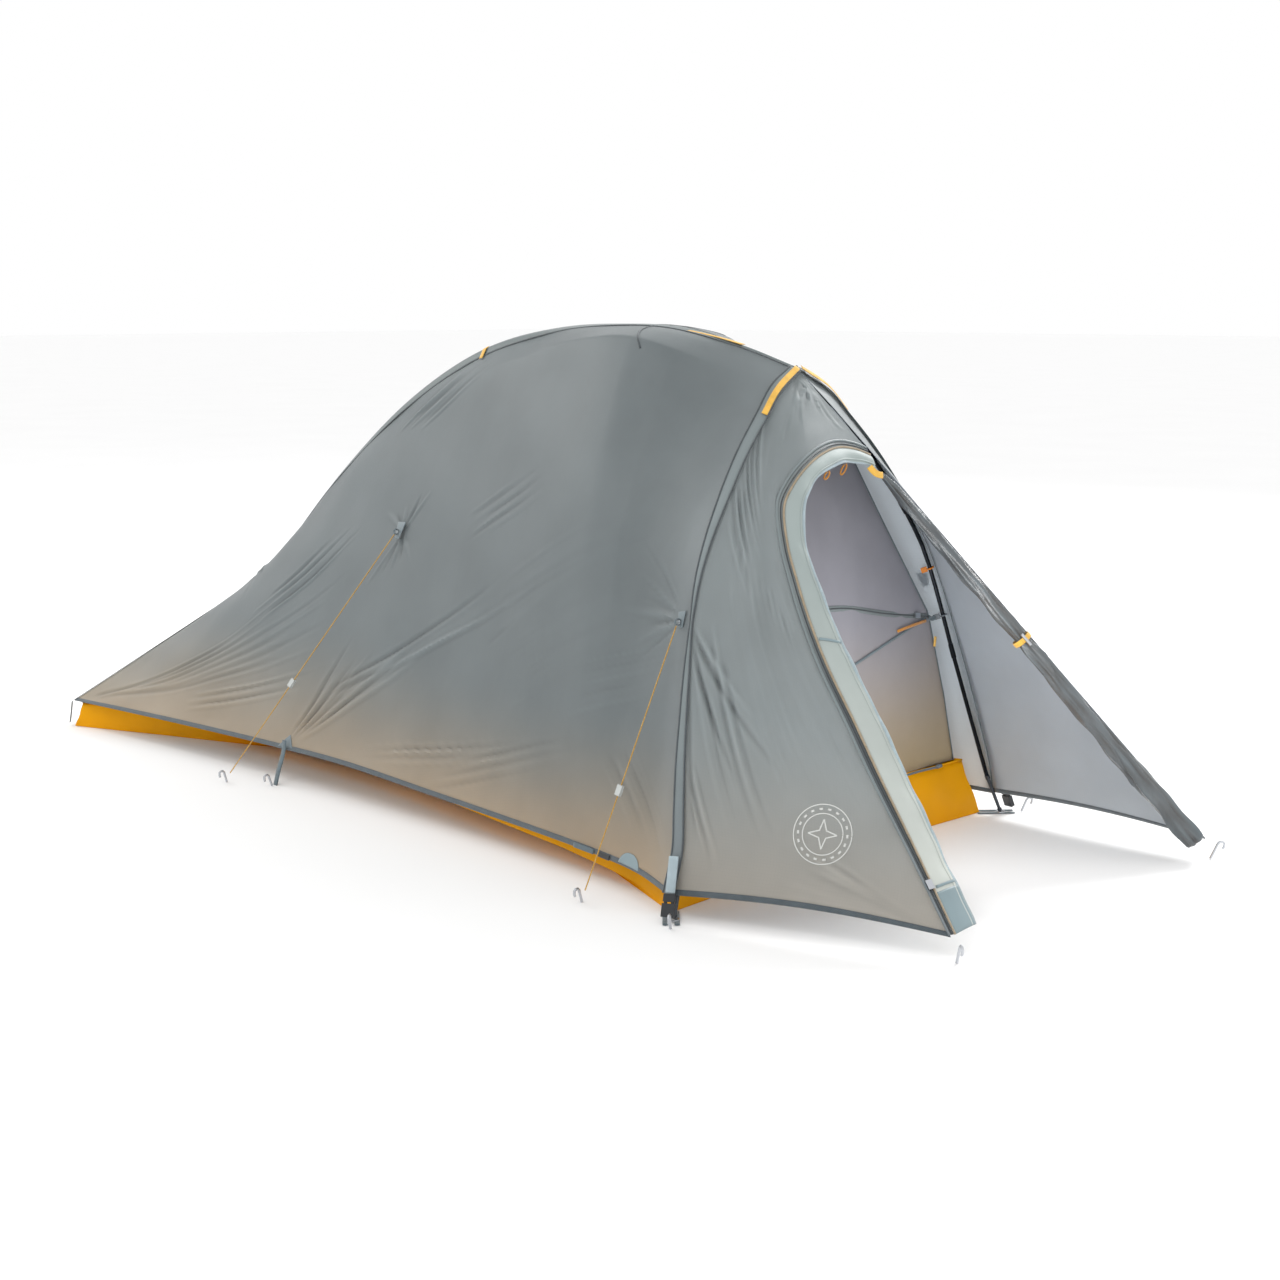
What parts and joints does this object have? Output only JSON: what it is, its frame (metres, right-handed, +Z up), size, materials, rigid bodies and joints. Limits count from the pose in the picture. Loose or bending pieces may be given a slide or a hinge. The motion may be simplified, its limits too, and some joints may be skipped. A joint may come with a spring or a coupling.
{
  "type": "dome tent",
  "caption": "Pitched one-person dome tent with hubbed poles, a closed inner tent with tray floor, a fly and a vestibule whose door is rolled back.",
  "frame": {"origin": "centre of the floor's underside, halfway between the head and foot edges, on the ground", "axes": "+X along the tent from the foot to the vestibule, +Y across it, to the right of someone who faces the door from outside, +Z up"},
  "size_m": [2.8551, 1.1482, 1.0313],
  "materials": {
    "hub_plastic": "moulded",
    "pole_black": "black anodised",
    "alloy": "bead blasted",
    "floor_fabric": "coated plain weave",
    "inner_fabric": "thin plain weave",
    "clip_orange": "moulded",
    "fly_fabric": "coated ripstop",
    "flap_fabric": "coated plain weave",
    "zip_tape": "woven tape",
    "roll_fabric": "coated ripstop, rolled",
    "reflective_tape": "woven reflective tape",
    "webbing": "woven webbing",
    "dark_webbing": "woven webbing",
    "buckle_plastic": "moulded",
    "guy_loop": "sewn patch and loop",
    "cord": "braided cord"
  },
  "bodies": {
    "tent": {"hub": "hub_plastic", "ridge_pole": "pole_black", "leg_pole_left": "pole_black", "pole_tip_left": "alloy", "leg_pole_right": "pole_black", "pole_tip_right": "alloy", "pole_tip_foot": "alloy", "strut_clip": "hub_plastic", "floor": "floor_fabric", "inner_side_left": "inner_fabric", "inner_side_right": "inner_fabric", "inner_front": "inner_fabric", "inner_door_zip": "zip_tape", "clip_leg_left_low": "buckle_plastic", "clip_leg_left_high": "clip_orange", "clip_leg_right_low": "buckle_plastic", "clip_leg_right_high": "clip_orange", "clip_ridge": "clip_orange", "fly_side_left": "fly_fabric", "fly_side_right": "fly_fabric", "fly_foot": "fly_fabric", "vestibule_left": "fly_fabric", "vestibule_right": "fly_fabric", "door_zip": "zip_tape", "rain_flap": "flap_fabric", "rolled_door": "roll_fabric", "door_loop": "reflective_tape", "apex_tape": "reflective_tape", "ridge_tape": "reflective_tape", "buckle_socket_left": "buckle_plastic", "buckle_socket_right": "buckle_plastic", "stake_loop_left": "dark_webbing", "foot_strap_left": "dark_webbing", "stake_loop_right": "dark_webbing", "foot_strap_right": "dark_webbing", "guy_loop_side_left": "guy_loop", "guy_loop_leg_left": "guy_loop", "guy_loop_side_right": "guy_loop", "guy_loop_leg_right": "guy_loop", "guyline_side": "cord", "guyline_leg": "cord"},
    "stake_front_left": {"stake_front_left": "alloy"},
    "stake_side_left": {"stake_side_left": "alloy"},
    "stake_front_right": {"stake_front_right": "alloy"},
    "stake_side_right": {"stake_side_right": "alloy"},
    "stake_vestibule_left": {"stake_vestibule_left": "alloy"},
    "stake_vestibule_right": {"stake_vestibule_right": "alloy"},
    "stake_guy_side": {"stake_guy_side": "alloy"},
    "stake_guy_leg": {"stake_guy_leg": "alloy"},
    "buckle_strap_left": {"buckle_plug_left": "buckle_plastic", "corner_strap_left": "webbing"},
    "buckle_strap_right": {"buckle_plug_right": "buckle_plastic", "corner_strap_right": "webbing"},
    "line_lock_side": {"line_lock_side": "alloy"},
    "line_lock_leg": {"line_lock_leg": "alloy"},
    "door_zip_slider": {"door_zip_slider": "alloy"},
    "inner_zip_slider": {"inner_zip_slider": "alloy"},
    "door_toggle": {"door_toggle": "alloy"},
    "cross_strut": {"cross_strut": "pole_black"}
  },
  "joints": [
    {"name": "stake_front_left_pull", "type": "slide", "parent": "tent", "child": "stake_front_left", "axis": [0.2297, -0.3215, 0.9186], "range_m": [0, 0.15]},
    {"name": "stake_side_left_pull", "type": "slide", "parent": "tent", "child": "stake_side_left", "axis": [0, -0.3303, 0.9439], "range_m": [0, 0.15]},
    {"name": "stake_front_right_pull", "type": "slide", "parent": "tent", "child": "stake_front_right", "axis": [0.2297, 0.3215, 0.9186], "range_m": [0, 0.15]},
    {"name": "stake_side_right_pull", "type": "slide", "parent": "tent", "child": "stake_side_right", "axis": [0, 0.3303, 0.9439], "range_m": [0, 0.15]},
    {"name": "stake_vestibule_left_pull", "type": "slide", "parent": "tent", "child": "stake_vestibule_left", "axis": [0.3215, -0.2297, 0.9186], "range_m": [0, 0.15]},
    {"name": "stake_vestibule_right_pull", "type": "slide", "parent": "tent", "child": "stake_vestibule_right", "axis": [0.3215, 0.2297, 0.9186], "range_m": [0, 0.15]},
    {"name": "stake_guy_side_pull", "type": "slide", "parent": "tent", "child": "stake_guy_side", "axis": [0, -0.2873, 0.9578], "range_m": [0, 0.15]},
    {"name": "stake_guy_leg_pull", "type": "slide", "parent": "tent", "child": "stake_guy_leg", "axis": [0, -0.2873, 0.9578], "range_m": [0, 0.15]},
    {"name": "buckle_left_release", "type": "slide", "parent": "tent", "child": "buckle_strap_left", "axis": [-0.1562, 0.3124, 0.937], "range_m": [0, 0.03]},
    {"name": "buckle_right_release", "type": "slide", "parent": "tent", "child": "buckle_strap_right", "axis": [-0.1562, -0.3124, 0.937], "range_m": [0, 0.03]},
    {"name": "line_lock_side_slide", "type": "slide", "parent": "tent", "child": "line_lock_side", "axis": [0.3858, 0.4225, 0.8201], "range_m": [-0.1, 0.1]},
    {"name": "line_lock_leg_slide", "type": "slide", "parent": "tent", "child": "line_lock_leg", "axis": [0.1511, 0.3037, 0.9407], "range_m": [-0.1, 0.1]},
    {"name": "door_zip_slide", "type": "slide", "parent": "tent", "child": "door_zip_slider", "axis": [-0.6194, 0.13, 0.7742], "range_m": [0, 0.3]},
    {"name": "inner_zip_slide", "type": "slide", "parent": "tent", "child": "inner_zip_slider", "axis": [0.0198, -0.9887, 0.1483], "range_m": [0, 0.2]},
    {"name": "door_toggle_turn", "type": "hinge", "parent": "tent", "child": "door_toggle", "pos_m": [1.3473, 0.2417, 0.4363], "axis": [0.8062, -0.5178, 0.2861], "range_deg": [-90, 90]},
    {"name": "strut_swivel", "type": "hinge", "parent": "tent", "child": "cross_strut", "pos_m": [0.64, 0, 1.0027], "axis": [0, 0, 1], "range_deg": [-60, 60]}
  ]
}
